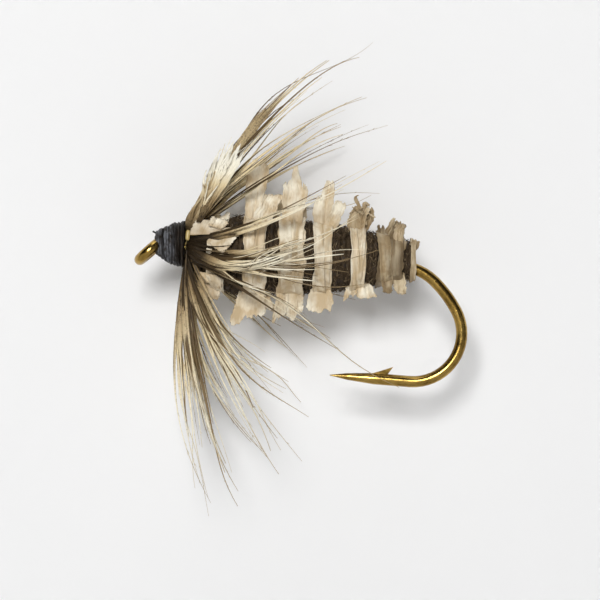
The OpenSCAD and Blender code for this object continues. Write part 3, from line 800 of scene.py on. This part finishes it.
def barbules(shape, paths, width, length, rng, tone, reach):
    """Fine hairs that lie close along both edges of each barb."""
    number = len(paths)
    t = np.sort(rng.uniform(0.03, 0.93, (number, BARBULES)), axis=1)
    place = t * (RINGS - 1)
    low = np.minimum(place.astype(int), RINGS - 2)
    rest = (place - low)[..., None]
    row = np.arange(number)[:, None]
    base = paths[row, low] * (1 - rest) + paths[row, low + 1] * rest
    ahead = paths[row, low + 1] - paths[row, low]
    ahead /= np.linalg.norm(ahead, axis=2, keepdims=True)
    side = sideways(paths)[row, low]
    side = side * rng.choice([-1, 1], (number, BARBULES, 1)) + rng.normal(0, 0.5, (number, BARBULES, 3))
    size = length * rng.uniform(0.5, 1.1, (number, BARBULES, 1)) * (1.1 - 0.6 * t[..., None])
    steps = np.linspace(0, 1, 4)
    out = 0.26 * size
    hairs = (base[:, :, None] + (ahead * size)[:, :, None] * steps[:, None]
             + (side * out)[:, :, None] * (steps ** 0.7)[:, None])
    hairs = hairs.reshape(-1, 4, 3)
    thin = np.broadcast_to(width * 0.2 * (1.1 - steps), hairs.shape[:2])
    first = shape.count
    shape.strands(hairs, thin, sides=3, tone=np.repeat(tone, BARBULES))
    shape.along[-1] = np.repeat((t * reach[:, None]).reshape(-1), (shape.count - first) // hairs.shape[0])


# The webby pale patches of the plume
WEBS = [
    Leaf([(2.3, 1.6), (2.6, 2.9), (2.6, 3.8), (3.1, 5.25)],
         [(2.4, 1.6), (3.0, 3.0), (3.6, 4.2), (4.1, 5.5)],
         (0.74, 0.93, 0.78, 1, 0.84, 0.96, 0.8, 0.9), -1.6, -1.3, 1.0),
    Leaf([(2.4, 1.6), (3.0, 3.4), (3.7, 5.8)], [(2.5, 1.6), (3.5, 3.3), (4.7, 5.4)],
         (0.8, 0.98, 0.8, 1, 0.8, 0.94, 0.74), -1.6, -1.3, 1.0),
]
WEB_THICKNESS = 0.03


def blotches(rng, number):
    """Random shades that drift along each barb and differ round it."""
    knots = rng.normal(0, 0.34, (number, 8, STRAND_SIDES))
    place = np.linspace(0, 6.999, RINGS)
    low = place.astype(int)
    rest = (place - low)[None, :, None]
    return knots[:, low] * (1 - rest) + knots[:, low + 1] * rest


def barb_tones(number, short, pale, body, rng):
    """A tone for each barb: pale ones are above 0.6 and dark ones below 0.44."""
    short_pale = 0.8 * pale if body == "upper_hackle" else 0.15 * pale
    chance = np.where(np.arange(number) < number - short, pale, short_pale)
    is_pale = rng.uniform(0, 1, number) < chance
    return np.where(is_pale, rng.uniform(0.6, 1, number), rng.uniform(0, 0.44, number))


def hackle(name, rng):
    shape, group = Shape(), GROUPS[name]
    body = group.body
    paths, reach = barb_paths(BARBS[name], group.bundle, group.between, group.short, rng)
    number = len(paths)
    tone = barb_tones(number, group.short, group.pale, body, rng)
    t = np.linspace(0, 1, RINGS)
    size = np.clip(np.exp(rng.normal(0, 0.42, (number, 1))), 0.55, 2.2)
    size[number - group.short:] *= 0.6
    belly = 0.7 + 0.5 * np.sin(math.pi * np.minimum(1, t * 1.5)) ** 2
    taper = group.width * belly * (1 - 0.88 * t ** 1.2)
    shades = np.clip(tone[:, None, None] + blotches(rng, number), 0, 1)
    shape.strands(paths, taper * size, sides=STRAND_SIDES, flat=0.4, tone=shades, reach=reach)
    barbules(shape, paths, group.width, group.hair, rng, 0.6 * tone + 0.2, reach)
    if name == "hackle_plume":
        for web in WEBS:
            leaf(shape, *web, rng, WEB_THICKNESS)
    piece = shape.piece(f"{name}_barbs", group.slot, [name], group.material)
    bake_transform(piece)


for number, name in enumerate(GROUPS):
    hackle(name, np.random.default_rng(300 + number))


# The vane's two edges, as (x, z)
VANE_OUTER = [(2.1, 1.4), (2.9, 3.9), (4.05, 5.85), (4.7, 6.9), (5.4, 7.8), (6.1, 8.4)]
VANE_INNER = [(2.2, 1.4), (3.2, 3.7), (4.4, 5.6), (5.05, 6.6), (5.7, 7.5), (6.25, 8.3)]
VANE_BARBS = 13
VANE_HALF_WIDTH = 0.036


def speckled_vane(rng):
    """Barbs still joined side by side as one narrow speckled vane."""
    shape = Shape()
    outer, inner = resample(VANE_OUTER, RINGS), resample(VANE_INNER, RINGS)
    share = np.linspace(0, 1, VANE_BARBS)[:, None, None]
    flat_path = outer[None] * (1 - share) + inner[None] * share
    t = np.linspace(0, 1, RINGS)
    nearer = t[None, :] ** 1.2 * 2.3
    cup = 0.12 * np.sin(math.pi * share[..., 0])
    depth = -0.2 - nearer - cup + rng.normal(0, 0.015, (VANE_BARBS, 1))
    paths = np.stack([flat_path[..., 0], depth, flat_path[..., 1]], 2)
    for path, end in zip(paths, rng.uniform(0.82, 1.0, VANE_BARBS)):
        steps = np.linspace(0, end * (RINGS - 1), RINGS)
        path[:] = np.stack([np.interp(steps, np.arange(RINGS), path[:, i]) for i in range(3)], 1)
    width = np.broadcast_to(VANE_HALF_WIDTH * (1 - 0.8 * t ** 6), (VANE_BARBS, RINGS))
    tone = rng.uniform(0, 1, VANE_BARBS)
    shape.strands(paths, width, sides=5, flat=0.6, tone=tone)
    barbules(shape, paths, 0.04, 0.25, rng, tone, np.ones(VANE_BARBS))
    piece = shape.piece("hackle_speckled_vane", "speckled_hackle", ["hackle_speckled"], SPECKLED)
    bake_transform(piece)


speckled_vane(np.random.default_rng(400))

# ---- head ----

# Where the head starts and ends along X, its radii there, and its tilt
HEAD_FRONT, HEAD_BACK = 0.28, 1.82
HEAD_R = (0.48, 1.08)
HEAD_TILT = math.radians(4)
# The way of the line through the eye, and the room that is kept round it
EYE_AXIS = np.array([-0.71934, 0, 0.694658])
EYE_CLEAR = 0.4
# Half widths of the wound thread and of the turns across it, and the twist of both
THREAD_R, CROSSING_R, TWIST = 0.078, 0.066, 0.32


def on_head(x, angle, out):
    """Points round the head: x along its axis from the front, an angle from the top, a radius."""
    axis = np.array([math.cos(HEAD_TILT), 0, math.sin(HEAD_TILT)])
    up = np.array([-math.sin(HEAD_TILT), 0, math.cos(HEAD_TILT)])
    start = np.array([HEAD_FRONT, 0, SHANK_Z + 0.1])
    x, angle, out = np.broadcast_arrays(x, angle, out)
    ray = np.cos(angle)[..., None] * up + np.sin(angle)[..., None] * NEAR
    return clear_of_eye(start + x[..., None] * axis + out[..., None] * ray)


def clear_of_eye(points):
    """Pushes points out of the way of the line that runs through the eye."""
    reach = points @ EYE_AXIS
    off = points - reach[..., None] * EYE_AXIS
    far = np.linalg.norm(off, axis=-1, keepdims=True)
    return points + off * np.maximum(EYE_CLEAR / far - 1, 0)


def head_r(x):
    share = np.clip(x / (HEAD_BACK - HEAD_FRONT), 0, 1)
    return HEAD_R[0] + (HEAD_R[1] - HEAD_R[0]) * np.sin(share * math.pi / 2) ** 0.8


def turns_of_thread(shape, x1, x2, turns, rng, reach):
    """Thread wound side by side over a core; each turn's tone paints a highlight on its crown and shade at
    its sides.
    """
    core = np.linspace(x1, x2, 14)[None, :]
    angle = np.linspace(0, TAU, 72, endpoint=False)[:, None]
    shape.sheet(on_head(core, angle, head_r(core) - 0.12), 0.1, closed=True, tone=0.2)
    steps, sides = 90 * turns, 12
    s = np.linspace(0, 1, steps)[None, :]
    x = x1 + 0.06 + (x2 - x1 - 0.12) * s + 0.012 * ripple(rng, s * turns, 0 * s, 0.6, 0)
    out = head_r(x) - 0.01 + 0.028 * ripple(rng, s * turns, 0 * s, 0.9, 0)
    # Painted light by facing: the tone is 1 where a turn faces outwards and 0 in the grooves between turns
    crown = 0.5 + 0.5 * np.cos(np.arange(sides) / sides * TAU)[None, None, :]
    shape.strands(on_head(x, TAU * turns * s, out), np.full((1, steps), THREAD_R), sides=sides,
                  ref=(1, 0, 0), tone=crown, ply=TWIST, reach=reach)


def crossing_turn(shape, x1, x2, rng, reach):
    """One turn laid at a slant across the others."""
    t = np.linspace(0, 1, 80)[None, :]
    angle = 0.9 * TAU * t + rng.uniform(0, TAU)
    wander = (2 * t - 1) * rng.uniform(0.1, 0.3) * rng.choice([-1, 1])
    at = np.clip(rng.uniform(x1 + 0.2, x2 - 0.2) + wander, x1 + 0.05, x2 - 0.05)
    out = head_r(at) - 0.02 + 0.045 * np.sin(math.pi * t) ** 0.4
    # A tone of 0.7 gives the crossing turn a faint painted highlight all round
    shape.strands(on_head(at, angle, out), np.full(t.shape, CROSSING_R), sides=10,
                  ref=(1, 0, 0), tone=0.7, ply=TWIST, reach=reach)


def thread_fuzz(shape, x1, x2, number, rng):
    """Fine loose hairs of the thread."""
    each = (number, 1)
    t = np.linspace(0, 1, 5)[None, :]
    at = rng.uniform(x1, x2, each) + rng.normal(0, 0.06, each) * t
    angle = rng.uniform(0, TAU, each) + rng.normal(0, 0.15, each) * t
    out = head_r(at) + rng.uniform(0.05, 0.16, each) * t
    # A tone of 0.8 gives the loose hairs a partial painted highlight
    shape.strands(on_head(at, angle, out), 0.011 * (1.1 - t) + np.zeros(each), sides=3, tone=0.8)


def winding(name, node, x1, x2, turns, crossing, fuzz, reach, rng):
    shape = Shape()
    turns_of_thread(shape, x1, x2, turns, rng, reach)
    for _ in range(crossing):
        crossing_turn(shape, x1, x2, rng, reach)
    thread_fuzz(shape, x1, x2, fuzz, rng)
    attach(shape.piece(name, "black_thread", [node], THREAD), "dressed_hook")


winding("head_winding", "head_thread", 0.42, 1.5, turns=7, crossing=4, fuzz=90, reach=1.0,
        rng=np.random.default_rng(500))
winding("knot_winding", "knot_thread", 0.0, 0.45, turns=3, crossing=1, fuzz=40, reach=0.3,
        rng=np.random.default_rng(501))


def thread_tag():
    shape = Shape()
    path = resample([(0.5, -0.1, 0.85), (0.42, -0.2, 0.9), (0.25, -0.28, 0.94), (0.12, -0.35, 1.0)], 24)
    shape.strands(path[None], np.full((1, 24), 0.04), sides=10, tone=0.6, ply=0.3)
    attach(shape.piece("thread_tag_end", "black_thread", ["thread_tag"], THREAD), "dressed_hook")


def quill_butt():
    shape = Shape()
    path = resample([(1.9, -1.0, 0.68), (1.9, -0.99, 0.95), (1.9, -0.95, 1.2)], 20)
    t = np.linspace(0, 1, 20)
    width = 0.11 * np.sqrt(np.clip(1 - (2 * t - 1) ** 6, 0.15, 1))
    shape.strands(path[None], width[None], sides=16, flat=0.7, tone=0.5)
    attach(shape.piece("quill_butt_end", "quill", ["quill_butt"], QUILL), "dressed_hook")


thread_tag()
quill_butt()

# ---- stage: pale wall close behind, pale floor, soft lights, camera ----

CENTRE = Vector((7.71, 0, -1.81)) * MM
VIEW_ROLL = math.radians(4.7)
VIEW_WIDTH = 30.0 * MM
LENS = 150.0


def plane(name, corners, material):
    """A stage surface with its front towards the side from which its corners run anticlockwise."""
    mesh = bpy.data.meshes.new(name)
    mesh.from_pydata([[c * MM for c in corner] for corner in corners], [], [(0, 1, 2, 3)])
    mesh.materials.append(material)
    made = bpy.data.objects.new(name, mesh)
    bpy.context.scene.collection.objects.link(made)


def paper(name, shade, one_sided):
    """Plain paper; one that is one-sided can't be seen from behind."""
    m = Nodes(name)
    m.set(Base_Color=(shade, shade, shade), Roughness=0.9)
    if one_sided:
        mix, clear = m.add("ShaderNodeMixShader"), m.add("ShaderNodeBsdfTransparent")
        m.link(m.add("ShaderNodeNewGeometry").outputs["Backfacing"], mix.inputs[0])
        m.link(m.shader.outputs[0], mix.inputs[1])
        m.link(clear.outputs[0], mix.inputs[2])
        m.link(mix.outputs[0], m.tree.nodes["Material Output"].inputs["Surface"])
    return m.material


WALL_Y, FLOOR_Z, REACH = 4.4, -30.0, 1500.0
LEFT, RIGHT, NEAR_END, FAR_END = -REACH, REACH, -REACH, REACH
plane("wall", [(LEFT, WALL_Y, FLOOR_Z), (RIGHT, WALL_Y, FLOOR_Z),
               (RIGHT, WALL_Y, REACH), (LEFT, WALL_Y, REACH)], paper("wall_paper", 0.93, True))
plane("floor", [(LEFT, NEAR_END, FLOOR_Z), (RIGHT, NEAR_END, FLOOR_Z),
                (RIGHT, FAR_END, FLOOR_Z), (LEFT, FAR_END, FLOOR_Z)], paper("floor_paper", 0.7, False))


def area_light(name, place, size, watts):
    """A square light that faces the fly, placed from the middle of the view."""
    data = bpy.data.lights.new(name, "AREA")
    data.size, data.energy = size * MM, watts
    light = bpy.data.objects.new(name, data)
    light.location = CENTRE + Vector(place) * MM
    light.rotation_euler = (CENTRE - light.location).to_track_quat("-Z", "Y").to_euler()
    bpy.context.scene.collection.objects.link(light)


area_light("key", (-45, -310, 95), 95, 0.775)
area_light("fill", (260, -240, 40), 200, 0.02)
area_light("top", (-40, -60, 300), 120, 0.1)
area_light("back", (40, 335, 60), 200, 0.9)

world = bpy.data.worlds.new("studio")
world.use_nodes = True
world.node_tree.nodes["Background"].inputs["Color"].default_value = (0.9, 0.9, 0.9, 1)
world.node_tree.nodes["Background"].inputs["Strength"].default_value = 0.025
bpy.context.scene.world = world
bpy.context.scene.view_settings.view_transform = "Standard"

camera_data = bpy.data.cameras.new("camera")
camera_data.lens = LENS
camera_data.clip_start, camera_data.clip_end = 0.005, 10
camera = bpy.data.objects.new("camera", camera_data)
distance = VIEW_WIDTH * LENS / camera_data.sensor_width
right = Vector((math.cos(VIEW_ROLL), 0, math.sin(VIEW_ROLL)))
up = Vector((-math.sin(VIEW_ROLL), 0, math.cos(VIEW_ROLL)))
back = Vector((0, -1, 0))
turned = Matrix((right, up, back)).transposed().to_4x4()
camera.matrix_world = Matrix.Translation(CENTRE + back * distance) @ turned
bpy.context.scene.collection.objects.link(camera)
bpy.context.scene.camera = camera
